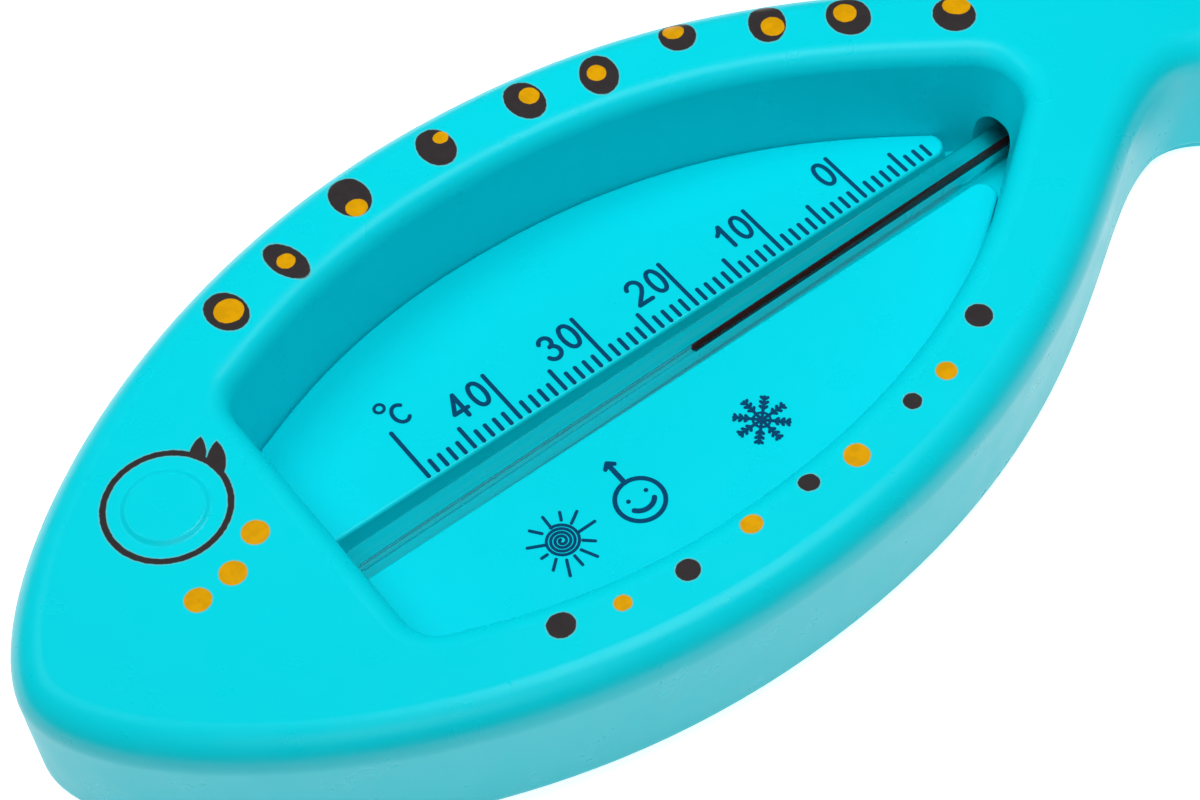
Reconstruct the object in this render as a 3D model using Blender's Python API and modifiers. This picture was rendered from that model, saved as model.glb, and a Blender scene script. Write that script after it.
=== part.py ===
"""A bath thermometer: a hollow fish-shaped float that lies on its flat back.

The front is one moulded shell with a deep leaf-shaped window.  Two raised scale
faces stand in the window, and a glass tube lies in the groove between them.  The
tube runs through a hole in the window's end wall, so that its bulb sits in a
chamber in the tail.  A thin cover closes the back.

Metres, +Z up.  The head points along -X, the tail along +X, and the tube lies
along X above the middle of the cover, whose underside is at Z = 0.
"""

import math

import bmesh
import bpy
from mathutils import Matrix, Vector

# Body outline, seen from above
body_length = 0.148
body_width = 0.064
body_height = 0.0155
nose_to_belly = 0.0595
waist_to_tail = 0.024
waist_width = 0.019
tail_fin_width = 0.039
tail_fin_to_tail = 0.008
tail_corner_width = 0.026
tail_notch_depth = 0.004

# How far each stretch of the outline keeps the direction of its end
nose_roundness = 0.0107
brow_roundness = 0.0334
flank_roundness = 0.0390
waist_roundness = 0.0112
tail_fin_roundness = 0.006
tail_corner_roundness = 0.0045

# Shell walls
wall = 0.002
rim_rounding = 0.0033
mouth_rounding = 0.0023

# Window, measured at its mouth in the top of the rim
head_length = 0.0279
mouth_length = 0.0854
rim_width = 0.0074
window_corner = 0.0060
window_side_half = 0.0131
window_corner_angle = math.radians(20)
window_tip_radius = 0.0071
window_tip_angle = math.radians(37)
window_draft = 0.0010
window_head_roundness = 0.0030
window_belly_roundness = 0.0155
window_flank_roundness = 0.0275
window_taper_roundness = 0.0120
window_wall = 0.0020

# Scale faces and the groove between them
scale_face_height = 0.0050
scale_face_plate = 0.0020
groove_width = 0.0049
groove_floor_height = 0.00205
scale_tip_radius = 0.0016

# Hole in the window's end wall, and the chamber behind it
hole_height = 0.0057
hole_rounding = 0.0016
chamber_length = 0.0145
chamber_width = 0.0066
chamber_wall = 0.0012

# Low dome moulded inside the eye ring
eye_from_nose = 0.0199
eye_from_axis = 0.0085
eye_dome_radius = 0.0040
eye_dome_height = 0.0003
eye_dome_edge = 0.0005

# Back cover
cover_thickness = 0.0008
cover_edge_rounding = 0.00025
seam_gap = 0.0002
locating_rib_height = 0.0018
locating_rib_thickness = 0.0012
locating_rib_clearance = 0.0002

# Glass tube and the liquid in it
tube_diameter = 0.0035
tube_clearance = 0.0002
tube_end_gap = 0.0005
tube_skew = math.radians(0.65)
tube_tip_length = 0.0012
bore_diameter = 0.0007
bore_end_from_tube_end = 0.0112
bulb_diameter = 0.0046
bulb_length = 0.0090
bulb_glass = 0.0005
bulb_clearance = 0.0016
bulb_neck = 0.0020
filling_hole_diameter = 0.00024
liquid_clearance = 0.00005
column_length = 0.0423

# Fineness of the round stretches
outline_steps = 10
rounding_steps = 5
turned_steps = 16

# Margin by which a cutter passes the surface that it opens
through = 0.001

# Where the driving dimensions put things
nose_x = -body_length / 2
tail_x = body_length / 2
belly_x = nose_x + nose_to_belly
shell_foot = cover_thickness + seam_gap
mouth_head_x = nose_x + head_length
mouth_tip_x = mouth_head_x + mouth_length
mouth_half_width = body_width / 2 - rim_width
mouth_to_foot = mouth_rounding + window_draft
foot_tip_x = mouth_tip_x - mouth_to_foot
foot_tip_radius = window_tip_radius - mouth_to_foot
foot_tip_centre_x = foot_tip_x - foot_tip_radius
taper_start_x = foot_tip_centre_x + foot_tip_radius * math.sin(window_tip_angle)
taper_start_y = foot_tip_radius * math.cos(window_tip_angle)
taper_apex_x = taper_start_x + (taper_start_y - groove_width / 2) / math.tan(window_tip_angle)
scale_tip_centre_x = taper_apex_x - scale_tip_radius / math.tan(window_tip_angle / 2)
scale_tip_x = scale_tip_centre_x + scale_tip_radius
roof_height = body_height - wall
tube_radius = tube_diameter / 2
tube_axis_height = groove_floor_height + tube_clearance + tube_radius
tube_head_x = mouth_head_x + mouth_to_foot + tube_end_gap
chamber_head_x = foot_tip_x + window_wall
chamber_tail_x = chamber_head_x + chamber_length
bulb_tail_x = chamber_tail_x - bulb_clearance
bulb_head_x = bulb_tail_x - bulb_length
neck_x = bulb_head_x - bulb_neck

turquoise = (0.0, 0.68, 0.80, 1.0)
clear_glass = (0.90, 0.97, 0.97, 1.0)
dark_red = (0.05, 0.004, 0.004, 1.0)


def clear_scene():
    """Start from an empty scene."""
    for old in list(bpy.data.objects):
        bpy.data.objects.remove(old, do_unlink=True)


def new_collection(name):
    """Add a collection to the scene."""
    group = bpy.data.collections.new(name)
    bpy.context.scene.collection.children.link(group)
    return group


def material(name, colour, roughness, transmission=0.0):
    """A Principled BSDF material."""
    made = bpy.data.materials.new(name)
    made.use_nodes = True
    made.diffuse_color = colour
    shader = made.node_tree.nodes["Principled BSDF"]
    shader.inputs["Base Color"].default_value = colour
    shader.inputs["Roughness"].default_value = roughness
    shader.inputs["Metallic"].default_value = 0.0
    shader.inputs["Transmission Weight"].default_value = transmission
    return made


def new_object(name, mesh, group):
    """Put a mesh into the scene as a named object."""
    made = bpy.data.objects.new(name, mesh)
    group.objects.link(made)
    return made


def as_cutter(made):
    """Show a cutter as a wire and keep it out of renders."""
    made.hide_render = True
    made.display_type = "WIRE"
    return made


def combine(target, other, operation):
    """Join another solid to the target, or cut it away."""
    step = target.modifiers.new(other.name, "BOOLEAN")
    step.operation = operation
    step.solver = "EXACT"
    step.object = other
    return step


def mirrored(half):
    """Continue a half outline across the X axis.

    Each point is its place, then its handle back towards the head and its
    handle on towards the tail, both measured from the place.
    """
    whole = list(half)
    for place, back, on in reversed(half):
        if place[1] > 0:
            whole.append(((place[0], -place[1]), (on[0], -on[1]), (back[0], -back[1])))
    return whole


def arc_handle(radius, angle):
    """Handle length with which a Bezier stretch follows an arc."""
    return 4 / 3 * math.tan(angle / 4) * radius


def body_outline():
    """The fish outline: nose, belly, waist, tail fin and notch."""
    fin_x = tail_x - tail_fin_to_tail
    return mirrored([
        ((nose_x, 0), (0, -nose_roundness), (0, nose_roundness)),
        ((belly_x, body_width / 2), (-brow_roundness, 0), (flank_roundness, 0)),
        ((tail_x - waist_to_tail, waist_width / 2), (-waist_roundness, 0), (tail_fin_roundness, 0)),
        ((fin_x, tail_fin_width / 2), (-tail_fin_roundness, 0), (tail_corner_roundness, 0)),
        ((tail_x, tail_corner_width / 2), (0, tail_corner_roundness), (0, -tail_corner_roundness)),
        ((tail_x - tail_notch_depth, 0), (0, tail_corner_roundness), (0, -tail_corner_roundness)),
    ])


def mouth_outline():
    """The leaf outline of the window at its mouth."""
    turn = math.pi / 2 - window_corner_angle
    corner_handle = arc_handle(window_corner, turn)
    rise = Vector((math.cos(window_corner_angle), math.sin(window_corner_angle)))
    corner_end = (
        mouth_head_x + window_corner * (1 - math.sin(window_corner_angle)),
        window_side_half + window_corner * math.cos(window_corner_angle),
    )
    fall = Vector((math.cos(window_tip_angle), -math.sin(window_tip_angle)))
    tip_handle = arc_handle(window_tip_radius, math.pi / 2 - window_tip_angle)
    tip_start = (
        mouth_tip_x - window_tip_radius * (1 - math.sin(window_tip_angle)),
        window_tip_radius * math.cos(window_tip_angle),
    )
    return mirrored([
        ((mouth_head_x, window_side_half), (0, -corner_handle), (0, corner_handle)),
        (corner_end, -rise * corner_handle, rise * window_head_roundness),
        ((belly_x, mouth_half_width), (-window_belly_roundness, 0), (window_flank_roundness, 0)),
        (tip_start, -fall * window_taper_roundness, fall * tip_handle),
        ((mouth_tip_x, 0), (0, tip_handle), (0, -tip_handle)),
    ])


def flat_face(points):
    """A bmesh with one flat face inside a closed Bezier outline."""
    curve = bpy.data.curves.new("outline", "CURVE")
    curve.dimensions = "2D"
    curve.fill_mode = "NONE"
    curve.resolution_u = outline_steps
    spline = curve.splines.new("BEZIER")
    spline.bezier_points.add(len(points) - 1)
    spline.use_cyclic_u = True
    for knot, (place, back, on) in zip(spline.bezier_points, points):
        knot.handle_left_type = "FREE"
        knot.handle_right_type = "FREE"
        knot.co = (place[0], place[1], 0)
        knot.handle_left = (place[0] + back[0], place[1] + back[1], 0)
        knot.handle_right = (place[0] + on[0], place[1] + on[1], 0)
    guide = new_object("outline", curve, bpy.context.scene.collection)
    seen = guide.evaluated_get(bpy.context.evaluated_depsgraph_get())
    mesh = bpy.data.meshes.new_from_object(seen)
    bpy.data.objects.remove(guide)
    form = bmesh.new()
    form.from_mesh(mesh)
    bmesh.ops.remove_doubles(form, verts=form.verts, dist=1e-6)
    bmesh.ops.dissolve_limit(form, angle_limit=math.radians(0.2), verts=form.verts, edges=form.edges)
    bmesh.ops.contextual_create(form, geom=form.edges)
    bpy.data.meshes.remove(mesh)
    return form


def layered_solid(name, points, levels, group):
    """A solid that follows an outline through several levels.

    Each level is how far the outline is drawn in there, and its height.  The
    outline is only ever drawn further in from one level to the next.
    """
    form = flat_face(points)
    cap = form.faces[:][0]
    drawn_in, height = levels[0]
    if drawn_in > 0:
        ring = bmesh.ops.inset_region(
            form, faces=[cap], thickness=drawn_in, use_boundary=True, use_even_offset=True
        )
        bmesh.ops.delete(form, geom=ring["faces"], context="FACES")
    for vert in cap.verts:
        vert.co.z = height
    bmesh.ops.duplicate(form, geom=[cap])
    for further, height in levels[1:]:
        if further > drawn_in:
            bmesh.ops.inset_region(
                form,
                faces=[cap],
                thickness=further - drawn_in,
                use_boundary=True,
                use_even_offset=True,
            )
        else:
            moved = bmesh.ops.extrude_discrete_faces(form, faces=[cap])
            cap = moved["faces"][0]
        for vert in cap.verts:
            vert.co.z = height
        drawn_in = further
    bmesh.ops.remove_doubles(form, verts=form.verts, dist=1e-7)
    bmesh.ops.recalc_face_normals(form, faces=form.faces)
    mesh = bpy.data.meshes.new(name)
    form.to_mesh(mesh)
    form.free()
    return new_object(name, mesh, group)


def rounded_levels(radius, start_in, start_height, rise):
    """Levels of a quarter round that starts upright and ends level."""
    levels = []
    for step in range(1, rounding_steps + 1):
        angle = math.pi / 2 * step / rounding_steps
        further = start_in + radius * (1 - math.cos(angle))
        levels.append((further, start_height + rise * radius * math.sin(angle)))
    return levels


def flared_levels(radius, start_height):
    """Levels of a quarter round that starts level and ends upright, going down."""
    levels = []
    for step in range(rounding_steps + 1):
        angle = math.pi / 2 * step / rounding_steps
        levels.append((radius * math.sin(angle), start_height - radius * (1 - math.cos(angle))))
    return levels


def box(name, low, high, group):
    """A box between two corners."""
    form = bmesh.new()
    size = Vector(high) - Vector(low)
    middle = (Vector(high) + Vector(low)) / 2
    bmesh.ops.create_cube(form, size=1, matrix=Matrix.Translation(middle) @ Matrix.Diagonal((*size, 1)))
    mesh = bpy.data.meshes.new(name)
    form.to_mesh(mesh)
    form.free()
    return new_object(name, mesh, group)


def round_edges(made, width, steps, wanted):
    """Bevel the edges of a mesh that a test picks out."""
    form = bmesh.new()
    form.from_mesh(made.data)
    picked = [edge for edge in form.edges if wanted(edge)]
    bmesh.ops.bevel(form, geom=picked, offset=width, segments=steps, profile=0.5, affect="EDGES")
    form.to_mesh(made.data)
    form.free()


def smooth(made):
    """Shade a round piece smooth, with its corners kept sharp."""
    made.data.shade_smooth()
    made.data.set_sharp_from_angle(angle=math.radians(35))


def window_cutter(cutters):
    """The window from its rounded mouth down to the scale faces."""
    levels = [(0, body_height + through)]
    levels += flared_levels(mouth_rounding, body_height)
    levels += [(mouth_to_foot, scale_face_height)]
    return as_cutter(layered_solid("window_cut", mouth_outline(), levels, cutters))


def scale_face_keep(side, cutters):
    """The solids that one scale face leaves standing in the low floor cut.

    The face's tip is an arc that touches both the groove and the window's wall.
    """
    edge_y = groove_width / 2
    far_y = body_width
    touch_x = scale_tip_centre_x + scale_tip_radius * math.sin(window_tip_angle)
    touch_y = edge_y + scale_tip_radius * (1 + math.cos(window_tip_angle))
    kept = []
    for name, low_y, end_x in (("edge", edge_y, scale_tip_centre_x), ("tip", touch_y, touch_x)):
        near, far = sorted((side * low_y, side * far_y))
        low = (nose_x, near, -through)
        high = (end_x, far, body_height)
        kept.append(box(f"scale_face_{name}_{side}", low, high, cutters))
    form = bmesh.new()
    place = Vector((scale_tip_centre_x, side * (edge_y + scale_tip_radius), body_height / 2))
    bmesh.ops.create_cone(
        form,
        cap_ends=True,
        segments=2 * turned_steps,
        radius1=scale_tip_radius,
        radius2=scale_tip_radius,
        depth=body_height + 2 * through,
        matrix=Matrix.Translation(place),
    )
    mesh = bpy.data.meshes.new(f"scale_face_arc_{side}")
    form.to_mesh(mesh)
    form.free()
    kept.append(new_object(mesh.name, mesh, cutters))
    return [as_cutter(solid) for solid in kept]


def low_floor_cutter(cutters):
    """The groove, and the low pocket between the scale faces and the end wall."""
    levels = [(mouth_to_foot, scale_face_height + through), (mouth_to_foot, groove_floor_height)]
    low = as_cutter(layered_solid("low_floor_cut", mouth_outline(), levels, cutters))
    for side in (-1, 1):
        for solid in scale_face_keep(side, cutters):
            combine(low, solid, "DIFFERENCE")
    return low


def window_boss(cutters):
    """The solid that the shell keeps around and under the window."""
    outside = mouth_to_foot - window_wall
    levels = [
        (outside - window_draft, body_height),
        (outside, scale_face_height),
        (outside, -through),
    ]
    return as_cutter(layered_solid("window_boss", mouth_outline(), levels, cutters))


def scale_face_pockets(cutters):
    """The space under the scale faces, which leaves them as thick as the walls."""
    inside = mouth_to_foot + window_wall
    levels = [(inside, scale_face_height - scale_face_plate), (inside, -through)]
    pockets = as_cutter(layered_solid("scale_face_pockets", mouth_outline(), levels, cutters))
    strip_half = groove_width / 2 + wall
    strip = box(
        "groove_keep",
        (nose_x, -strip_half, -2 * through),
        (tail_x, strip_half, body_height),
        cutters,
    )
    end = box(
        "pocket_keep",
        (scale_tip_centre_x - wall, -body_width, -2 * through),
        (tail_x, body_width, body_height),
        cutters,
    )
    combine(pockets, as_cutter(strip), "DIFFERENCE")
    combine(pockets, as_cutter(end), "DIFFERENCE")
    return pockets


def chamber_walls(cutters):
    """The rib around the bulb, from the roof down to the cover."""
    half = chamber_width / 2
    outer = box(
        "chamber_outside",
        (chamber_head_x - window_wall, -half - chamber_wall, shell_foot - through),
        (chamber_tail_x + chamber_wall, half + chamber_wall, body_height),
        cutters,
    )
    inner = box(
        "chamber_inside",
        (chamber_head_x, -half, shell_foot - 2 * through),
        (chamber_tail_x, half, body_height + through),
        cutters,
    )
    combine(outer, as_cutter(inner), "DIFFERENCE")
    return as_cutter(outer)


def end_wall_hole(cutters):
    """The arched hole that the tube passes through."""
    half = groove_width / 2
    made = box(
        "end_wall_hole",
        (scale_tip_x, -half, groove_floor_height),
        (chamber_head_x + through, half, groove_floor_height + hole_height),
        cutters,
    )
    top = groove_floor_height + hole_height - through
    round_edges(
        made,
        hole_rounding,
        rounding_steps,
        lambda edge: all(vert.co.z > top for vert in edge.verts)
        and abs(edge.verts[0].co.x - edge.verts[1].co.x) > through,
    )
    return as_cutter(made)


def shell_hollow(cutters):
    """The air space between the outer wall, the roof and the window."""
    levels = [(wall, shell_foot - through), (wall, roof_height)]
    hollow = as_cutter(layered_solid("shell_hollow", body_outline(), levels, cutters))
    combine(hollow, window_boss(cutters), "DIFFERENCE")
    combine(hollow, chamber_walls(cutters), "DIFFERENCE")
    return hollow


def eye_dome(cutters):
    """The low dome inside the eye ring, sunk a little into the head."""
    sunk = through / 2
    form = bmesh.new()
    place = Vector((
        nose_x + eye_from_nose,
        eye_from_axis,
        body_height + (eye_dome_height - sunk) / 2,
    ))
    bmesh.ops.create_cone(
        form,
        cap_ends=True,
        segments=2 * turned_steps,
        radius1=eye_dome_radius,
        radius2=eye_dome_radius - eye_dome_edge,
        depth=eye_dome_height + sunk,
        matrix=Matrix.Translation(place),
    )
    mesh = bpy.data.meshes.new("eye_dome")
    form.to_mesh(mesh)
    form.free()
    return as_cutter(new_object("eye_dome", mesh, cutters))


def front_shell(parts, cutters, plastic):
    """The moulded front: rim, window, scale faces, groove and bulb chamber."""
    side_top = body_height - rim_rounding
    levels = [(0, shell_foot), (0, side_top)]
    levels += rounded_levels(rim_rounding, 0, side_top, 1)
    shell = layered_solid("front_shell", body_outline(), levels, parts)
    shell.data.materials.append(plastic)
    combine(shell, shell_hollow(cutters), "DIFFERENCE")
    combine(shell, scale_face_pockets(cutters), "DIFFERENCE")
    combine(shell, window_cutter(cutters), "DIFFERENCE")
    combine(shell, low_floor_cutter(cutters), "DIFFERENCE")
    combine(shell, end_wall_hole(cutters), "DIFFERENCE")
    combine(shell, eye_dome(cutters), "UNION")
    smooth(shell)
    return shell


def back_cover(parts, cutters, plastic):
    """The thin cover, with a rib that locates it inside the shell."""
    levels = [(0, cover_thickness), (0, cover_edge_rounding)]
    levels += rounded_levels(cover_edge_rounding, 0, cover_edge_rounding, -1)
    cover = layered_solid("back_cover", body_outline(), levels, parts)
    cover.data.materials.append(plastic)
    rib_outside = wall + locating_rib_clearance
    rib_inside = rib_outside + locating_rib_thickness
    rib_top = cover_thickness + locating_rib_height
    rib = layered_solid(
        "locating_rib",
        body_outline(),
        [(rib_outside, cover_thickness / 2), (rib_outside, rib_top)],
        cutters,
    )
    rib_hole = layered_solid(
        "locating_rib_hole",
        body_outline(),
        [(rib_inside, 0), (rib_inside, rib_top + through)],
        cutters,
    )
    combine(rib, as_cutter(rib_hole), "DIFFERENCE")
    combine(cover, as_cutter(rib), "UNION")
    smooth(cover)
    return cover


def turned(name, profile, group):
    """Turn a profile of (along, radius) points about the tube's axis.

    The profile is drawn upright in X and Z for the Screw modifier, from top to
    bottom along its outer side, and the solid is then laid along X.
    """
    mesh = bpy.data.meshes.new(name)
    form = bmesh.new()
    verts = [form.verts.new((radius, 0, -along)) for along, radius in profile]
    for first, second in zip(verts, verts[1:]):
        form.edges.new((first, second))
    form.to_mesh(mesh)
    form.free()
    made = new_object(name, mesh, group)
    screw = made.modifiers.new("turn", "SCREW")
    screw.steps = turned_steps
    screw.render_steps = turned_steps
    screw.use_merge_vertices = True
    screw.merge_threshold = 1e-6
    screw.use_normal_calculate = False
    middle_x = (tube_head_x + neck_x) / 2
    laid = Matrix.Rotation(-math.pi / 2, 4, "Y")
    made.matrix_world = (
        Matrix.Translation((middle_x, 0, tube_axis_height))
        @ Matrix.Rotation(tube_skew, 4, "Z")
        @ Matrix.Translation((-middle_x, 0, 0))
        @ laid
    )
    return made


def round_end(end_x, radius, length, inwards):
    """Points of an elliptical end cap, from its pole to its full radius."""
    points = []
    for step in range(rounding_steps + 1):
        angle = math.pi / 2 * step / rounding_steps
        points.append((end_x + inwards * length * (1 - math.cos(angle)), radius * math.sin(angle)))
    return points


def glass_tube(parts, glass):
    """The capillary tube with its bulb, open at a fine hole in its head end."""
    bulb_radius = bulb_diameter / 2
    hole = filling_hole_diameter / 2
    bore = bore_diameter / 2
    bore_end_x = tube_head_x + bore_end_from_tube_end
    inner_radius = bulb_radius - bulb_glass
    head_end = round_end(tube_head_x, tube_radius, tube_tip_length, 1)
    tail_end = round_end(bulb_tail_x, bulb_radius, bulb_radius, -1)
    inner_end = round_end(bulb_tail_x - bulb_glass, inner_radius, inner_radius, -1)
    profile = [(tube_head_x, hole)]
    profile += [point for point in head_end if point[1] > hole]
    profile += [(neck_x, tube_radius), (bulb_head_x, bulb_radius)]
    profile += list(reversed(tail_end))
    profile += inner_end
    profile += [(bulb_head_x + bulb_glass, inner_radius), (neck_x + bulb_glass, bore)]
    profile += [(bore_end_x, bore), (bore_end_x - bore_diameter, hole), (tube_head_x, hole)]
    tube = turned("glass_tube", profile, parts)
    tube.data.materials.append(glass)
    smooth(tube)
    return tube


def thermometer_liquid(parts, liquid):
    """The liquid that fills the bulb and stands in the bore."""
    inset = bulb_glass + liquid_clearance
    radius = bulb_diameter / 2 - inset
    column = bore_diameter / 2 - liquid_clearance
    column_end_x = neck_x - column_length
    profile = [(column_end_x, 0), (column_end_x, column), (neck_x + inset, column)]
    profile += [(bulb_head_x + inset, radius)]
    profile += list(reversed(round_end(bulb_tail_x - inset, radius, radius, -1)))
    fill = turned("thermometer_liquid", profile, parts)
    fill.data.materials.append(liquid)
    smooth(fill)
    return fill


def build():
    """Make the whole thermometer."""
    clear_scene()
    parts = new_collection("bath_thermometer")
    cutters = new_collection("cutters")
    plastic = material("turquoise_plastic", turquoise, 0.25)
    glass = material("clear_glass", clear_glass, 0.02, 1.0)
    liquid = material("dark_red_liquid", dark_red, 0.1)
    front_shell(parts, cutters, plastic)
    back_cover(parts, cutters, plastic)
    glass_tube(parts, glass)
    thermometer_liquid(parts, liquid)


build()
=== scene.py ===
# %% [markdown]
# A bath thermometer in the shape of a fish, photographed from above on a white table.
# The CAD model already has every part in its place, so this lesson keeps its sizes and
# gives each part its finished form: fine roundings, print, glass, liquid and plastic.
# The head points along -X, the tail along +X, and all lengths below are in millimetres
# times `mm`, because Blender works in metres.

import math

import bmesh
import bpy
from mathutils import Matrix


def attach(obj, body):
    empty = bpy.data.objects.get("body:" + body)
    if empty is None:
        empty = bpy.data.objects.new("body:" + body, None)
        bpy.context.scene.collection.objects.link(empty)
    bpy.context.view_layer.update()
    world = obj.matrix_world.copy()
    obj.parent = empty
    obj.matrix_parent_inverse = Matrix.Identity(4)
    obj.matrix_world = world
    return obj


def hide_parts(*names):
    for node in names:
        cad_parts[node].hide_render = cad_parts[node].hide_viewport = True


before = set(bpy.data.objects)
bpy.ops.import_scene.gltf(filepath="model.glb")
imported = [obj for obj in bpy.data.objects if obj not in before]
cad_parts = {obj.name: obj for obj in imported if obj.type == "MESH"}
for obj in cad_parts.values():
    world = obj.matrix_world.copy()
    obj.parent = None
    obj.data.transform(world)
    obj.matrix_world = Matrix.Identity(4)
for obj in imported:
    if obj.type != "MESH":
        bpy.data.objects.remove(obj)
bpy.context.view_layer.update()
scene = bpy.context.scene
mm = 0.001
print("CAD nodes:", sorted(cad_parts))

# %% [markdown]
# Blender's operators act on whatever is selected, so every new piece starts with nothing
# selected. A few helpers keep the steps short: they enter edit mode, pick faces or edges
# by a test, and apply a modifier as soon as it has been added.

# %% Helpers for modelling by operator


def deselect():
    """Leave nothing selected in object mode."""
    if bpy.context.object and bpy.context.object.mode != "OBJECT":
        bpy.ops.object.mode_set(mode="OBJECT")
    bpy.ops.object.select_all(action="DESELECT")


def pick(piece):
    """Make one object the selected and active one."""
    deselect()
    piece.select_set(True)
    bpy.context.view_layer.objects.active = piece


def edit(piece, mode="FACE", everything=True):
    """Open one object in edit mode."""
    pick(piece)
    bpy.ops.object.mode_set(mode="EDIT")
    bpy.ops.mesh.select_mode(type=mode)
    bpy.ops.mesh.select_all(action="SELECT" if everything else "DESELECT")


def select_edges(piece, wanted):
    """In edit mode, select the edges whose two ends pass a test."""
    form = bmesh.from_edit_mesh(piece.data)
    for edge in form.edges:
        edge.select_set(wanted(edge.verts[0].co, edge.verts[1].co))
    bmesh.update_edit_mesh(piece.data)


def apply_modifier(piece, kind, **settings):
    """Add a modifier, set it up and apply it."""
    pick(piece)
    step = piece.modifiers.new(kind.lower(), kind)
    for name, value in settings.items():
        setattr(step, name, value)
    bpy.ops.object.modifier_apply(modifier=step.name)


def combine(piece, other, operation):
    """Join another solid to a piece, or cut it away, with an exact Boolean."""
    apply_modifier(piece, "BOOLEAN", object=other, operation=operation, solver="EXACT")
    bpy.data.objects.remove(other, do_unlink=True)


def finish_shading(piece, angle=30):
    """Smooth the roundings, keep real corners sharp and flat faces flat."""
    pick(piece)
    bpy.ops.object.shade_smooth_by_angle(angle=math.radians(angle))
    apply_modifier(piece, "WEIGHTED_NORMAL", keep_sharp=True, weight=50)


deselect()

# %% [markdown]
# The body is a flat fish: seen from above its outline is one closed Bezier curve that is
# the same on both sides of the glass tube. Each knot is written as its place and two
# handles, and only half of them are given, because the other half is a mirror image.
# A curve like this could also be drawn by hand in the viewport; numbers keep the window,
# the rim and the cover exactly parallel to each other.

# %% Sizes of the body and its window
body_length = 148 * mm
body_width = 64 * mm
body_height = 15.5 * mm
nose_x = -body_length / 2
tail_x = body_length / 2
belly_x = nose_x + 59.5 * mm
rim_rounding = 3.3 * mm
mouth_rounding = 2.3 * mm
mouth_head_x = nose_x + 27.9 * mm
mouth_tip_x = mouth_head_x + 85.4 * mm
mouth_half_width = body_width / 2 - 7.4 * mm
mouth_head_half = 13.1 * mm
mouth_tip_radius = 7.1 * mm
mouth_rise = 20
mouth_fall = 37
mouth_to_foot = mouth_rounding + 1.0 * mm
scale_height = 5.0 * mm
groove_floor = 2.05 * mm
groove_half = 2.45 * mm
cover_top = 0.8 * mm
shell_foot = 1.0 * mm
print("window, mm:", round((mouth_tip_x - mouth_head_x) / mm, 1), "long")

# %% Outlines as knots with handles


def mirrored(half):
    """Continue a half outline across the X axis."""
    whole = list(half)
    for place, back, on in reversed(half):
        if place[1] > 0:
            whole.append(((place[0], -place[1]), (on[0], -on[1]), (back[0], -back[1])))
    return whole


def arc_handle(radius, degrees):
    """Handle length with which a Bezier stretch follows an arc."""
    return 4 / 3 * math.tan(math.radians(degrees) / 4) * radius


def body_knots():
    """Nose, belly, waist, tail fin, tail corner and notch."""
    return mirrored([
        ((nose_x, 0), (0, -10.7 * mm), (0, 10.7 * mm)),
        ((belly_x, body_width / 2), (-33.4 * mm, 0), (39 * mm, 0)),
        ((tail_x - 24 * mm, 9.5 * mm), (-11.2 * mm, 0), (6 * mm, 0)),
        ((tail_x - 8 * mm, 19.5 * mm), (-6 * mm, 0), (4.5 * mm, 0)),
        ((tail_x, 13 * mm), (0, 4.5 * mm), (0, -4.5 * mm)),
        ((tail_x - 4 * mm, 0), (0, 4.5 * mm), (0, -4.5 * mm)),
    ])


def along(degrees, length):
    """A step of some length in a direction."""
    turn = math.radians(degrees)
    return (length * math.cos(turn), length * math.sin(turn))


def mouth_knots():
    """The leaf-shaped mouth of the window."""
    corner, tip = 6 * mm, mouth_tip_radius
    corner_handle = arc_handle(corner, 90 - mouth_rise)
    tip_handle = arc_handle(tip, 90 - mouth_fall)
    rise, fall = math.radians(mouth_rise), math.radians(mouth_fall)
    corner_end = (
        mouth_head_x + corner * (1 - math.sin(rise)),
        mouth_head_half + corner * math.cos(rise),
    )
    tip_start = (mouth_tip_x - tip * (1 - math.sin(fall)), tip * math.cos(fall))
    return mirrored([
        ((mouth_head_x, mouth_head_half), (0, -corner_handle), (0, corner_handle)),
        (corner_end, along(mouth_rise + 180, corner_handle), along(mouth_rise, 3 * mm)),
        ((belly_x, mouth_half_width), (-15.5 * mm, 0), (27.5 * mm, 0)),
        (tip_start, along(180 - mouth_fall, 12 * mm), along(-mouth_fall, tip_handle)),
        ((mouth_tip_x, 0), (0, tip_handle), (0, -tip_handle)),
    ])


print("knots:", len(body_knots()), "for the body,", len(mouth_knots()), "for the window")

# %% [markdown]
# From an outline to a solid: the curve becomes a mesh, the mesh is filled with one face,
# and that face climbs level by level. Where it goes straight up it is extruded, and where
# the side bends over it is inset and raised at once. A quarter round in sixteen insets
# reads as a true rounding, and the flat top stays a single flat face.

# %% Solids from outlines


def outline_face(name, knots, steps):
    """A flat face inside a closed Bezier curve."""
    deselect()
    bpy.ops.curve.primitive_bezier_circle_add(radius=1)
    guide = bpy.context.object
    guide.name = name
    guide.data.dimensions = "2D"
    guide.data.fill_mode = "NONE"
    guide.data.resolution_u = steps
    points = guide.data.splines[0].bezier_points
    points.add(len(knots) - len(points))
    for point, (place, back, on) in zip(points, knots):
        point.handle_left_type = "FREE"
        point.handle_right_type = "FREE"
        point.co = (*place, 0)
        point.handle_left = (place[0] + back[0], place[1] + back[1], 0)
        point.handle_right = (place[0] + on[0], place[1] + on[1], 0)
    bpy.ops.object.convert(target="MESH")
    made = bpy.context.object
    edit(made, "VERT")
    bpy.ops.mesh.remove_doubles(threshold=1e-6)
    bpy.ops.mesh.dissolve_limited(angle_limit=math.radians(0.05))
    bpy.ops.mesh.select_all(action="SELECT")
    bpy.ops.mesh.edge_face_add()
    return made


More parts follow.
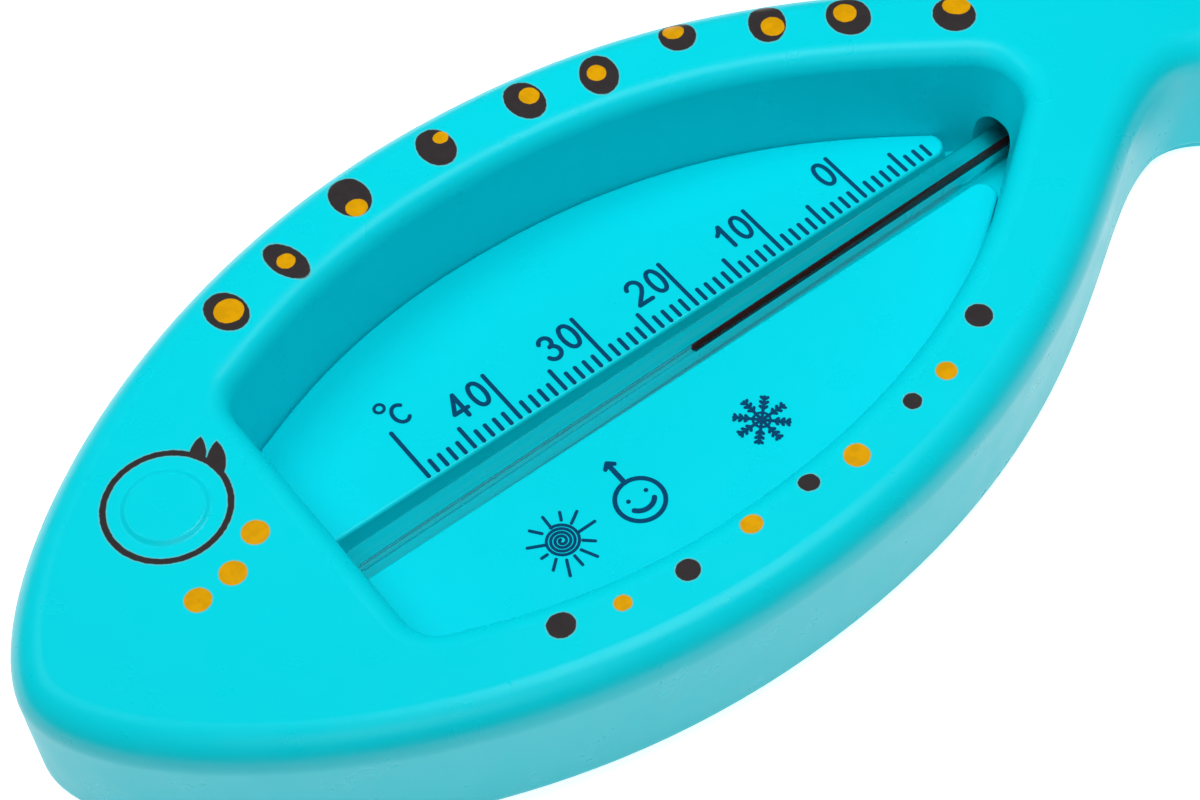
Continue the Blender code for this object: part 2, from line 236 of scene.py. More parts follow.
def layered(name, knots, steps, levels):
    """A solid that follows an outline through levels of (drawn in, height)."""
    made = outline_face(name, knots, steps)
    bpy.ops.mesh.select_mode(type="FACE")
    bpy.ops.mesh.select_all(action="SELECT")
    drawn_in, height = levels[0]
    upward = levels[1][1] > height
    if (bmesh.from_edit_mesh(made.data).faces[:][0].normal.z > 0) != upward:
        bpy.ops.mesh.flip_normals()
    if drawn_in > 0:
        bpy.ops.mesh.inset(thickness=drawn_in)
        bpy.ops.mesh.select_all(action="INVERT")
        bpy.ops.mesh.delete(type="FACE")
        bpy.ops.mesh.select_all(action="SELECT")
    bpy.ops.transform.translate(value=(0, 0, height))
    for further, level in levels[1:]:
        if further > drawn_in:
            bpy.ops.mesh.inset(thickness=further - drawn_in, depth=abs(level - height))
        else:
            bpy.ops.mesh.extrude_region_move(TRANSFORM_OT_translate={"value": (0, 0, level - height)})
        drawn_in, height = further, level
    bpy.ops.mesh.select_all(action="SELECT")
    bpy.ops.mesh.normals_make_consistent(inside=False)
    bpy.ops.object.mode_set(mode="OBJECT")
    return made


def over_the_edge(radius, height, steps):
    """Levels of an edge that starts upright and rolls over to level at `height`."""
    angles = [math.pi / 2 * step / steps for step in range(steps + 1)]
    return [(radius * (1 - math.cos(a)), height - radius * (1 - math.sin(a))) for a in angles]


def into_the_mouth(radius, height, steps):
    """Levels of an edge that starts level at `height` and rolls down to upright."""
    angles = [math.pi / 2 * step / steps for step in range(steps + 1)]
    return [(radius * math.sin(a), height - radius * (1 - math.cos(a))) for a in angles]


print("rim levels:", len(over_the_edge(rim_rounding, body_height, 16)))

# %% [markdown]
# The front is one moulding: rim, window, two raised scale faces and the groove between
# them. It starts as the whole fish with its rounded rim, and a bevel rounds its foot too,
# where light from the table catches it. The window is a second solid, lowered from above,
# that flares at its mouth like the plastic does.

# %% The fish with its rounded rim
shell = layered(
    "front_shell_look",
    body_knots(),
    40,
    [(0, shell_foot)] + over_the_edge(rim_rounding, body_height, 16),
)
foot_rounding = 0.9 * mm
edit(shell, "EDGE", False)
select_edges(shell, lambda a, b: max(a.z, b.z) < shell_foot + 0.01 * mm)
bpy.ops.mesh.bevel(offset=foot_rounding, segments=6, affect="EDGES")
bpy.ops.object.mode_set(mode="OBJECT")
print(shell.name, "starts with", len(shell.data.polygons), "faces")

# %% The solid that opens the window
window = layered(
    "window_cut",
    mouth_knots(),
    40,
    [(0, body_height + 1 * mm)]
    + into_the_mouth(mouth_rounding, body_height, 14)
    + [(mouth_to_foot, scale_height), (mouth_to_foot, groove_floor)],
)
print(window.name, "reaches down to", round(min(v.co.z for v in window.data.vertices) / mm, 2), "mm")

# %% [markdown]
# The two scale faces are what the window leaves standing. Each has a soft edge all round
# and keeps a tenth of a millimetre from the wall, which is the fine dark line along the
# wall's foot. Towards the groove its side leans back a little, as every moulded wall does
# to let go of its mould. So each is drawn as its own outline, cut to an outline just inside
# the wall's foot, and taken out of the cutter before the cutter meets the shell.

# %% Scale faces, groove and low pocket
tip_radius = 1.6 * mm
soft_edge = 0.42 * mm
draft = 0.65 * mm
foot_tip_x = mouth_tip_x - mouth_to_foot
foot_radius = mouth_tip_radius - mouth_to_foot
slope = math.radians(mouth_fall)
taper_x = foot_tip_x - foot_radius + foot_radius * math.sin(slope)
taper_y = foot_radius * math.cos(slope)
apex_x = taper_x + (taper_y - groove_half) / math.tan(slope)
tip_centre_x = apex_x - tip_radius / math.tan(slope / 2)


def scale_face_knots(side):
    """Outline of one scale face at its foot, continued past the window's wall."""
    radius = tip_radius + draft
    middle_y = groove_half + tip_radius
    quarter = arc_handle(radius, 90)
    rest = arc_handle(radius, 90 - mouth_fall)
    touch = (tip_centre_x + radius * math.sin(slope), middle_y + radius * math.cos(slope))
    none = (0, 0)
    knots = [
        ((nose_x, middle_y - radius), none, none),
        ((tip_centre_x, middle_y - radius), none, (quarter, 0)),
        ((tip_centre_x + radius, middle_y), (0, -quarter), (0, rest)),
        (touch, along(-mouth_fall, rest), none),
        ((touch[0], body_width), none, none),
        ((nose_x, body_width), none, none),
    ]
    return [tuple((x, side * y) for x, y in knot) for knot in knots]


rolled = over_the_edge(soft_edge, scale_height, 8)
past_wall = mouth_to_foot + 0.1 * mm
for side in (1, -1):
    face = layered(
        "scale_face",
        scale_face_knots(side),
        16,
        [(0, -1 * mm), (0, groove_floor - 0.1 * mm)]
        + [(draft + inwards, height + 0.003 * mm) for inwards, height in rolled],
    )
    plate = layered(
        "scale_plate",
        mouth_knots(),
        40,
        [(past_wall, -0.5 * mm)] + [(past_wall + inwards, height) for inwards, height in rolled],
    )
    combine(face, plate, "INTERSECT")
    combine(window, face, "DIFFERENCE")
combine(shell, window, "DIFFERENCE")
print("scale faces end at", round((tip_centre_x + tip_radius) / mm, 2), "mm")

# %% [markdown]
# The tube leaves the window through an arched hole in the end wall and its bulb lies in a
# chamber behind it. A box whose two upper edges are bevelled makes the arch, and a plain
# box makes the chamber, which is only glimpsed through the hole.

# %% Hole in the end wall and bulb chamber


def block(name, low, high):
    """A box between two corners, with its place in its mesh."""
    deselect()
    size = [b - a for a, b in zip(low, high)]
    middle = [(a + b) / 2 for a, b in zip(low, high)]
    bpy.ops.mesh.primitive_cube_add(size=1, location=middle, scale=size)
    made = bpy.context.object
    made.name = name
    bpy.ops.object.transform_apply(location=True, rotation=True, scale=True)
    return made


hole_top = groove_floor + 5.7 * mm
hole_start_x = tip_centre_x + tip_radius
chamber_x = foot_tip_x + 2 * mm
chamber_end_x = chamber_x + 14.5 * mm
hole = block(
    "hole_cut",
    (hole_start_x, -groove_half, groove_floor),
    (chamber_x + 1 * mm, groove_half, hole_top),
)
edit(hole, "EDGE", False)
select_edges(hole, lambda a, b: min(a.z, b.z) > hole_top - 1 * mm and abs(a.x - b.x) > 1 * mm)
bpy.ops.mesh.bevel(offset=1.6 * mm, segments=14, affect="EDGES")
chamber = block(
    "chamber_cut",
    (chamber_x, -3.3 * mm, -1 * mm),
    (chamber_end_x, 3.3 * mm, body_height - 2 * mm),
)
combine(hole, chamber, "UNION")
combine(shell, hole, "DIFFERENCE")
print("hole", round(2 * groove_half / mm, 1), "mm wide")

# %% [markdown]
# Inside the eye ring the plastic rises by a third of a millimetre. The rise is a low
# cylinder, sunk a little into the head, whose upper edge is drawn in step by step.

# %% Low dome of the eye
eye_x = nose_x + 19.9 * mm
eye_y = 8.5 * mm
deselect()
bpy.ops.mesh.primitive_circle_add(
    vertices=96, radius=4.1 * mm, fill_type="NGON", location=(eye_x, eye_y, body_height - 0.4 * mm)
)
dome = bpy.context.object
dome.name = "eye_dome"
bpy.ops.object.transform_apply(location=True, rotation=False, scale=False)
edit(dome)
bpy.ops.mesh.extrude_region_move(TRANSFORM_OT_translate={"value": (0, 0, 0.4 * mm)})
for step in range(10):
    low, high = (math.cos(math.pi * s / 10) for s in (step, step + 1))
    bpy.ops.mesh.inset(thickness=0.07 * mm, depth=0.15 * mm * (low - high))
bpy.ops.mesh.select_all(action="SELECT")
bpy.ops.mesh.normals_make_consistent(inside=False)
bpy.ops.object.mode_set(mode="OBJECT")
combine(shell, dome, "UNION")
finish_shading(shell)
print(shell.name, "has", len(shell.data.polygons), "faces")

# %% [markdown]
# The back is closed by a thin cover with the same outline, drawn in as far as the rounded
# foot of the front. A fifth of a millimetre stays open above it, which is the seam that
# shows all round.

# %% Back cover
edge = 0.5 * mm
drawn = 0.6 * mm
cover_levels = [(drawn, cover_top), (drawn, edge)]
for step in range(1, 7):
    turn = math.pi / 2 * step / 6
    cover_levels.append((drawn + edge * (1 - math.cos(turn)), edge * (1 - math.sin(turn))))
cover = layered("back_cover_look", body_knots(), 40, cover_levels)
finish_shading(cover)
print(cover.name, "has", len(cover.data.polygons), "faces")

# %% [markdown]
# The thermometer itself is a glass capillary with a bulb. A turned form like this can be
# grown from one circle: extrude the ring to the next station along the axis, scale it to
# the radius there, and go on. The bore is grown the same way as a second, inner form, so
# that the glass is solid where the liquid stands and hollow where it doesn't.

# %% Turned pieces along the tube's axis
tube_radius = 1.75 * mm
tube_height = groove_floor + 0.2 * mm + tube_radius
tube_head_x = mouth_head_x + mouth_to_foot + 0.1 * mm
bulb_end_x = chamber_end_x - 1.6 * mm
bulb_start_x = bulb_end_x - 9 * mm
neck_x = bulb_start_x - 2 * mm
column_end_x = neck_x - 42.7 * mm
tube_skew = math.radians(0.65)
bore_offset = -0.2 * mm


def turned(name, stations, sides=64):
    """A closed form turned about the X axis through (place along X, radius)."""
    deselect()
    x, radius = stations[0]
    bpy.ops.mesh.primitive_circle_add(
        vertices=sides, radius=radius, fill_type="NGON", location=(x, 0, 0), rotation=(0, math.pi / 2, 0)
    )
    made = bpy.context.object
    made.name = name
    bpy.ops.object.transform_apply(location=True, rotation=True, scale=True)
    edit(made)
    for next_x, next_radius in stations[1:]:
        bpy.ops.mesh.extrude_region_move(TRANSFORM_OT_translate={"value": (next_x - x, 0, 0)})
        scale = next_radius / radius
        if abs(scale - 1) > 1e-6:
            bpy.ops.transform.resize(value=(1, scale, scale), center_override=(next_x, 0, 0))
        x, radius = next_x, next_radius
    bpy.ops.mesh.select_all(action="SELECT")
    bpy.ops.mesh.normals_make_consistent(inside=False)
    bpy.ops.object.mode_set(mode="OBJECT")
    return made


def place_in_groove(piece):
    """Lay a turned piece in the groove, a little askew as the real one is."""
    middle = (tube_head_x + neck_x) / 2
    pick(piece)
    piece.location = (middle - middle * math.cos(tube_skew), -middle * math.sin(tube_skew), tube_height)
    piece.rotation_euler = (0, 0, tube_skew)
    bpy.ops.object.transform_apply(location=True, rotation=True, scale=True)


def off_centre(piece):
    """Move the bore or the liquid to the bore's place, a little before the glass's middle."""
    pick(piece)
    piece.location = (0, bore_offset, 0)
    bpy.ops.object.transform_apply(location=True, rotation=False, scale=False)


def dome_stations(pole_x, radius, length, inwards, steps=10):
    """Stations of an elliptical end, from just off its pole to its full radius."""
    angles = [math.pi / 2 * step / steps for step in range(steps + 1)]
    angles[0] = 0.02
    return [(pole_x + inwards * length * (1 - math.cos(a)), radius * math.sin(a)) for a in angles]


print("tube axis at", round(tube_height / mm, 2), "mm above the table")

# %% Glass with its empty bore
glass = turned(
    "glass_tube_look",
    dome_stations(tube_head_x, tube_radius, 1.2 * mm, 1)
    + [(neck_x, tube_radius), (bulb_start_x, 2.3 * mm)]
    + dome_stations(bulb_end_x, 2.3 * mm, 2.3 * mm, -1)[::-1],
)
bore_radius = 0.28 * mm
bore_start_x = tube_head_x + 1.6 * mm
bore = turned(
    "bore_cut",
    [(bore_start_x - 0.7 * mm, 0.04 * mm), (bore_start_x, bore_radius), (column_end_x, bore_radius)],
    32,
)
off_centre(bore)
combine(glass, bore, "DIFFERENCE")
place_in_groove(glass)
finish_shading(glass, 35)
print(glass.name, "has", len(glass.data.polygons), "faces")

# %% Liquid in the bulb and the bore
bulb_inner = 1.75 * mm
liquid = turned(
    "thermometer_liquid_look",
    dome_stations(column_end_x - 0.12 * mm, bore_radius, 0.12 * mm, 1, 6)
    + [(neck_x + 0.5 * mm, bore_radius), (bulb_start_x + 0.5 * mm, bulb_inner)]
    + dome_stations(bulb_end_x - 0.55 * mm, bulb_inner, bulb_inner, -1)[::-1],
    48,
)
off_centre(liquid)
place_in_groove(liquid)
finish_shading(liquid, 35)
print("column ends at", round(column_end_x / mm, 2), "mm")

# %% [markdown]
# The scale is printed on the raised face above the groove. One degree is 1.05 mm. A print
# is a very thin layer, so each mark is a flat bar a few hundredths of a millimetre thick
# with rounded ends. One bar is modelled for each of the three lengths and then copied, and
# every copy keeps a mesh of its own until all of them are joined into one piece of ink.

# %% Where a temperature stands on the scale
degree = 1.05 * mm
ink_height = 0.05 * mm
ink_step = 0.0005 * mm
axis_to_marks = 2.65 * degree


def at_degree(value):
    """Place along X of a temperature."""
    return (20.5 - value) * degree


def on_face(warmth, across):
    """A point on the scale faces, from a temperature and a distance in degrees."""
    return (at_degree(warmth), axis_to_marks + across * degree)


def join(name, pieces):
    """Join several objects into one and name it."""
    deselect()
    for piece in pieces:
        piece.select_set(True)
    bpy.context.view_layer.objects.active = pieces[0]
    if len(pieces) > 1:
        bpy.ops.object.join()
    pieces[0].name = name
    return pieces[0]


def copy_of(piece, offset):
    """A copy with its own mesh, moved by an offset."""
    made = piece.copy()
    made.data = piece.data.copy()
    scene.collection.objects.link(made)
    pick(made)
    made.location = offset
    bpy.ops.object.transform_apply(location=True, rotation=False, scale=False)
    return made


def ink_bar(start, end, width, rise=0.0):
    """A flat bar of ink with round ends that reaches from one point to another."""
    deselect()
    reach = math.dist(start, end) + width
    bpy.ops.mesh.primitive_cube_add(size=1, scale=(reach, width, 2 * ink_height))
    made = bpy.context.object
    bpy.ops.object.transform_apply(location=True, rotation=True, scale=True)
    edit(made, "EDGE", False)
    select_edges(made, lambda a, b: abs(a.z - b.z) > ink_height)
    bpy.ops.mesh.bevel(offset=width * 0.49, segments=5, affect="EDGES")
    bpy.ops.object.mode_set(mode="OBJECT")
    made.rotation_euler = (0, 0, math.atan2(end[1] - start[1], end[0] - start[0]))
    made.location = ((start[0] + end[0]) / 2, (start[1] + end[1]) / 2, scale_height + rise)
    bpy.ops.object.transform_apply(location=True, rotation=True, scale=True)
    return made


def ink_line(points, width, start_rise=0):
    """A run of ink bars through several points.

    Bars that lie in one plane where they overlap shade each other, so each one lies half
    a thousandth of a millimetre above the one before, and every fifth starts again.
    """
    bars = []
    for number, (start, end) in enumerate(zip(points, points[1:])):
        bars.append(ink_bar(start, end, width, (number % 5 + start_rise) * ink_step))
    return bars


mark_width = 0.42 * mm
mark_reach = {"short": 1.69 * degree, "medium": 2.82 * degree, "long": 6.2 * degree}
first_marks = {}
for kind, reach in mark_reach.items():
    low, high = axis_to_marks + mark_width / 2, axis_to_marks + reach - mark_width / 2
    first_marks[kind] = ink_bar((0, low), (0, high), mark_width)
print("mark lengths, mm:", {kind: round(reach / mm, 2) for kind, reach in mark_reach.items()})

# %% Marks from 8 below zero to 50 degrees
marks = []
for value in range(-8, 51):
    kind = "long" if value % 10 == 0 else "medium" if value % 5 == 0 else "short"
    marks.append(copy_of(first_marks[kind], (at_degree(value), 0, 0)))
for first in first_marks.values():
    bpy.data.objects.remove(first, do_unlink=True)
print(len(marks), "marks")
scale_marks = join("scale_marks", marks)

# %% [markdown]
# The numerals have thin strokes of one width with round ends, which no font in Blender
# has. Each is drawn as a run of points in a box of its own width and height, as with a
# round-nibbed pen, and the same ink bars follow the points. A closed oval makes the 0, and
# part of one makes the C.

# %% Numerals, the degree sign and a ring


def oval(middle_x, middle_y, half_x, half_y, start, end, steps, fullness=1.0):
    """Points along an oval, from one angle in degrees to another."""
    points = []
    for step in range(steps + 1):
        turn = math.radians(start + (end - start) * step / steps)
        cos, sin = math.cos(turn), math.sin(turn)
        x = math.copysign(abs(cos) ** fullness, cos)
        points.append((middle_x + half_x * x, middle_y + half_y * sin))
    return points


strokes = {
    "0": [oval(0.5, 0.5, 0.5, 0.5, 90, 450, 28, 0.85)],
    "1": [[(0.0, 0.70), (0.35, 0.77), (0.72, 0.90), (0.93, 1.0), (0.97, 1.0), (0.97, 0.0)]],
    "2": [
        oval(0.5, 0.71, 0.46, 0.29, 165, -25, 14)
        + [(0.72, 0.42), (0.3, 0.17), (0.03, 0.0), (1.0, 0.0)]
    ],
    "3": [
        oval(0.46, 0.77, 0.42, 0.23, 160, -80, 14),
        oval(0.48, 0.28, 0.5, 0.28, 80, -160, 16),
    ],
    "4": [[(0.72, 0.0), (0.72, 1.0), (0.0, 0.29), (1.0, 0.29)]],
    "C": [oval(0.5, 0.5, 0.5, 0.5, 48, 312, 22)],
}


def ink_sign(sign, warm, cool, low, high, width):
    """One numeral or letter in a box on the scale, given in degrees."""
    left, right = at_degree(warm) + width / 2, at_degree(cool) - width / 2
    foot, head = axis_to_marks + low * degree + width / 2, axis_to_marks + high * degree - width / 2
    bars = []
    for number, stroke in enumerate(strokes[sign]):
        points = [(left + (right - left) * x, foot + (head - foot) * y) for x, y in stroke]
        bars += ink_line(points, width, 5 * number)
    return bars


def ink_ring(centre, radius, width, sides=48):
    """A flat ring of ink."""
    deselect()
    bpy.ops.mesh.primitive_circle_add(
        vertices=sides,
        radius=radius + width / 2,
        fill_type="NGON",
        location=(*centre, scale_height - ink_height),
    )
    made = bpy.context.object
    bpy.ops.object.transform_apply(location=True, rotation=True, scale=True)
    edit(made)
    bpy.ops.mesh.inset(thickness=width)
    bpy.ops.mesh.delete(type="FACE")
    bpy.ops.mesh.select_all(action="SELECT")
    bpy.ops.mesh.extrude_region_move(TRANSFORM_OT_translate={"value": (0, 0, 2 * ink_height)})
    bpy.ops.mesh.select_all(action="SELECT")
    bpy.ops.mesh.normals_make_consistent(inside=False)
    bpy.ops.object.mode_set(mode="OBJECT")
    return made


digit_places = (
    ("4", 44.64, 42.78),
    ("0", 42.32, 40.62),
    ("3", 34.36, 32.55),
    ("0", 32.18, 30.45),
    ("2", 24.42, 22.5),
    ("0", 22.14, 20.48),
    ("1", 13.92, 12.8),
    ("0", 12.18, 10.52),
    ("0", 2.2, 0.5),
)
numerals = []
for sign, warm, cool in digit_places:
    numerals += ink_sign(sign, warm, cool, 3.08, 6.17, 0.45 * mm)
numerals += ink_sign("C", 49.03, 47.2, 6.07, 8.45, 0.39 * mm)
numerals.append(ink_ring(on_face(49.33, 8.87), 0.46 * degree, 0.3 * mm))
scale_numerals = join("scale_numerals", numerals)
print(scale_numerals.name, "has", len(scale_numerals.data.polygons), "faces")

# %% [markdown]
# Three little signs on the lower scale face tell hot, right and cold water apart. They
# are drawn with the same two tools, bars and rings: a sun with a spiral and twelve uneven
# rays, a smiling face under an arrow, and a snowflake whose one arm is turned round eight
# times.

# %% Sun
sun_at = (44.86, -12.45)
spiral = []
for step in range(121):
    turn = math.radians(90 - step * 12)
    reach = 1.66 - 1.5 * step / 120
    spiral.append(on_face(sun_at[0] - reach * math.cos(turn), sun_at[1] + reach * math.sin(turn)))
rays = (
    (44.73, -9.5, 44.8, -10.85),
    (43.27, -10.0, 43.64, -10.73),
    (42.05, -10.86, 43.14, -11.55),
    (41.45, -12.64, 43.14, -12.64),
    (42.6, -14.27, 43.4, -13.55),
    (43.4, -15.64, 44.1, -14.23),
    (44.9, -15.5, 44.9, -14.36),
    (46.4, -15.73, 45.7, -14.27),
    (47.2, -14.36, 46.36, -13.64),
    (47.27, -12.8, 46.68, -12.8),
    (47.64, -11.2, 46.27, -11.9),
    (46.45, -9.9, 45.77, -10.8),
)
sun_bars = ink_line(spiral, 0.28 * mm)
for warm, across, warm_end, across_end in rays:
    ray = (on_face(warm, across), on_face(warm_end, across_end))
    sun_bars.append(ink_bar(*ray, 0.3 * mm, 6 * ink_step))
sun = join("hot_sign", sun_bars)
print(sun.name, "has", len(rays), "rays")

# %% Smiling face under an arrow
face_warmth = 37.0
face_parts = [ink_ring(on_face(face_warmth, -13.33), 2.22 * degree, 0.44 * mm, 96)]
for warmth in (37.95, 36.02):
    eye = on_face(warmth, -12.87)
    face_parts.append(ink_bar(eye, (eye[0] + 0.01 * mm, eye[1]), 0.42 * mm))
smile = []
for step in range(13):
    turn = math.radians(215 + 110 * step / 12)
    smile.append(on_face(face_warmth - 1.35 * math.cos(turn), -13.2 + 1.25 * math.sin(turn)))
face_parts += ink_line(smile, 0.5 * mm)
shaft = [on_face(face_warmth, -11.1), on_face(face_warmth, -8.7)]
barbs = [on_face(37.5, -8.97), on_face(face_warmth, -8.5), on_face(36.5, -8.97)]
barb_ends = [on_face(37.35, -8.85), on_face(36.65, -8.85)]
face_parts += ink_line(shaft, 0.5 * mm, 6)
face_parts += ink_line(barbs, 0.42 * mm, 8)
face_parts += ink_line(barb_ends, 0.42 * mm, 12)
face_sign = join("right_sign", face_parts)
print(face_sign.name, "has", len(face_sign.data.polygons), "faces")

# %% Snowflake
flake_at = (23.5, -13.42)
flake_parts = [ink_ring(on_face(*flake_at), 0.78 * degree, 0.24 * mm, 24)]
arm = (
    (0.15, 0, 2.5, 0),
    (1.2, 0, 1.45, 0.3),
    (1.2, 0, 1.45, -0.3),
    (1.7, 0, 1.95, 0.32),
    (1.7, 0, 1.95, -0.32),
    (2.2, 0, 2.45, 0.3),
    (2.2, 0, 2.45, -0.3),
)
for turn in range(0, 360, 45):
    cos, sin = math.cos(math.radians(turn)), math.sin(math.radians(turn))
    for x0, y0, x1, y1 in arm:
        start = on_face(flake_at[0] - x0 * cos + y0 * sin, flake_at[1] + x0 * sin + y0 * cos)
        end = on_face(flake_at[0] - x1 * cos + y1 * sin, flake_at[1] + x1 * sin + y1 * cos)
        flake_parts.append(ink_bar(start, end, 0.3 * mm, len(flake_parts) * ink_step))
flake = join("cold_sign", flake_parts)
print(flake.name, "has", len(flake.data.polygons), "faces")

# %% [markdown]
# Finishes come next. Shader maths gets long when every Math node is added by hand, so a
# small class wraps a socket and lets Python's own signs add the nodes. A finish is then a
# few readable lines, and numbers that never change stay plain numbers.

# %% Shader maths as expressions


class Finish:
    """A material, or the sky, under construction."""

    def __init__(self, block):
        block.use_nodes = True
        self.block = block
        self.tree = block.node_tree
        self.shader = self.tree.nodes.get("Principled BSDF")

    def node(self, kind, settings=None, inputs=None):
        """Add a node, then its settings, then its inputs."""
        made = self.tree.nodes.new(kind)
        for name, value in (settings or {}).items():
            setattr(made, name, value)
        for key, value in (inputs or {}).items():
            self.feed(made.inputs[key], value)
        return made

    def feed(self, socket, value):
        """Set a socket, or link it to a signal."""
        if isinstance(value, Signal):
            self.tree.links.new(value.socket, socket)
        else:
            socket.default_value = value

    def place(self):
        """Object coordinates in millimetres."""
        where = self.node("ShaderNodeTexCoord").outputs["Object"]
        inputs = {0: Signal(self, where), "Scale": 1000}
        scaled = self.node("ShaderNodeVectorMath", {"operation": "SCALE"}, inputs)
        return Signal(self, scaled.outputs[0])

    def mix(self, factor, first, second):
        """Blend two colours."""
        made = self.node("ShaderNodeMix", {"data_type": "RGBA"}, {0: factor, 6: first, 7: second})
        return Signal(self, made.outputs[2])

    def noise(self, place, size, detail=2.0):
        """Noise with features of about one size in millimetres, from 0 to 1."""
        inputs = {"Vector": place, "Scale": 1 / size, "Detail": detail}
        made = self.node("ShaderNodeTexNoise", None, inputs)
        return Signal(self, made.outputs["Fac"])

    def rays(self, *kinds):
        """1 for rays of the given kinds and 0 for the others."""
        path = self.node("ShaderNodeLightPath")
        first, *others = [Signal(self, path.outputs[f"Is {kind} Ray"]) for kind in kinds]
        for other in others:
            first = first.math("MAXIMUM", other)
        return first

    def bump(self, height, depth):
        """Let a height from 0 to 1 raise the surface by a depth in metres."""
        made = self.node("ShaderNodeBump", None, {"Height": height, "Strength": 1.0, "Distance": depth})
        self.feed(self.shader.inputs["Normal"], Signal(self, made.outputs[0]))


class Signal:
    """A shader output that takes part in sums."""

    def __init__(self, finish, socket):
        self.finish = finish
        self.socket = socket

    def math(self, operation, *others):
        """Add one Math node."""
        inputs = dict(enumerate((self, *others)))
        made = self.finish.node("ShaderNodeMath", {"operation": operation}, inputs)
        return Signal(self.finish, made.outputs[0])

    def __add__(self, other):
        return self.math("ADD", other)

    def __radd__(self, other):
        return self.math("ADD", other)

    def __sub__(self, other):
        return self.math("SUBTRACT", other)

    def __rsub__(self, other):
        return (self * -1).math("ADD", other)

    def __mul__(self, other):
        return self.math("MULTIPLY", other)

    def __rmul__(self, other):
        return self.math("MULTIPLY", other)

    def fade(self, start, end, low=0.0, high=1.0):
        """Low up to start and high from end on, with a soft passage between."""
        made = self.finish.node(
            "ShaderNodeMapRange",
            {"interpolation_type": "SMOOTHSTEP"},
            {"Value": self, "From Min": start, "From Max": end, "To Min": low, "To Max": high},
        )
        return Signal(self.finish, made.outputs["Result"])


print("signals add, subtract and multiply")

# %% [markdown]
# The fish pattern is printed straight onto the rim: ovals with yellow pupils on the far
# side, a row of dots on the near side, and the eye ring with its lashes. Each form is a
# distance on Object coordinates, measured in millimetres from the form's edge, so the
# print stays where it is and follows the rim over its rounding. A Mapping node of type
# Texture moves, turns and stretches the plane so that each oval becomes a unit circle.

# %% Printed forms of the rim, in millimetres
dark_ovals = (
    (-38.31, 23.17, 2.43, 1.91, 98),
    (-30.78, 24.58, 2.66, 1.51, 104),
    (-21.89, 27.16, 2.51, 1.92, 87),
    (-12.03, 26.99, 2.42, 1.80, 86),
    (-1.97, 26.41, 2.53, 1.88, 87),
    (5.55, 24.47, 2.54, 1.90, 67),
    (14.56, 23.69, 2.01, 1.84, 67),
    (22.36, 19.39, 2.52, 1.84, 57),
    (29.09, 15.05, 2.47, 2.19, 68),
    (37.22, 8.70, 2.21, 2.09, 71),
    (-34.10, -22.54, 1.31, 1.25, 12),
    (-22.37, -24.93, 1.13, 1.08, 17),
    (-8.68, -24.50, 0.98, 0.91, 153),
    (3.92, -23.61, 0.87, 0.85, 39),
    (14.73, -20.22, 1.30, 1.27, 24),
)
yellow_dots = (
    (-38.1, 23.1, 1.42, 1.39, 0),
    (-30.8, 24.6, 0.89, 0.88, 0),
    (-22.1, 25.7, 1.07, 1.03, 0),
    (-11.0, 27.7, 0.77, 0.72, 0),
    (-1.3, 26.6, 1.05, 0.99, 78),
    (5.5, 24.8, 1.02, 0.95, 63),
    (14.6, 24.4, 1.08, 1.04, 0),
    (22.5, 18.7, 1.23, 1.16, 62),
    (29.1, 15.6, 1.20, 1.14, 64),
    (38.1, 9.4, 1.38, 1.1, 139),
    (-28.71, -24.06, 0.82, 0.77, 0),
    (-15.24, -24.70, 1.03, 0.94, 0),
    (-3.60, -24.93, 1.20, 1.18, 22),
    (8.42, -23.01, 0.98, 0.95, 41),
    (-53.07, -0.81, 1.23, 1.23, 0),
    (-49.30, 1.44, 1.25, 1.25, 0),
    (-56.89, -1.22, 1.21, 1.21, 0),
)
lashes = ((-48.1, 9.65, 2.45, 0.88, 56.2), (-48.9, 11.45, 1.95, 0.75, 50))
print(len(dark_ovals), "dark ovals and", len(yellow_dots), "yellow dots")


# %% Distances to the printed forms


def from_oval(finish, flat, oval):
    """Distance in millimetres outwards from the edge of an oval."""
    x, y, long_half, short_half, turn = oval
    stretched = finish.node(
        "ShaderNodeMapping",
        {"vector_type": "TEXTURE"},
        {
            "Vector": flat,
            "Location": (x, y, 0),
            "Rotation": (0, 0, math.radians(turn)),
            "Scale": (long_half, short_half, 1),
        },
    )
    inputs = {0: Signal(finish, stretched.outputs[0])}
    away = finish.node("ShaderNodeVectorMath", {"operation": "LENGTH"}, inputs)
    return (Signal(finish, away.outputs["Value"]) - 1) * short_half


def nearest(distances):
    """The least of several distances."""
    least = distances[0]
    for distance in distances[1:]:
        least = least.math("MINIMUM", distance)
    return least


def from_lash(finish, flat, lash):
    """Distance from a pointed leaf, which is where two circles overlap."""
    x, y, half, width, turn = lash
    radius = (half * half + width * width) / (2 * width)
    lean = math.radians(turn + 90)
    sides = []
    for side in (-1, 1):
        offset = side * (radius - width)
        circle = (x + offset * math.cos(lean), y + offset * math.sin(lean), radius, radius, 0)
        sides.append(from_oval(finish, flat, circle))
    return sides[0].math("MAXIMUM", sides[1])


print("leaf of a lash:", lashes[0])

# %% [markdown]
# Turquoise plastic straight from the mould is nearly even in colour. What gives it away is
# a faint drift of tone over centimetres, a skin that is a little rougher in places, and a
# very fine grain. The inks sit on it in the same material, chosen by the distances, with
# edges that waver by a few hundredths of a millimetre and a pale line where ink ends.

# %% Turquoise plastic


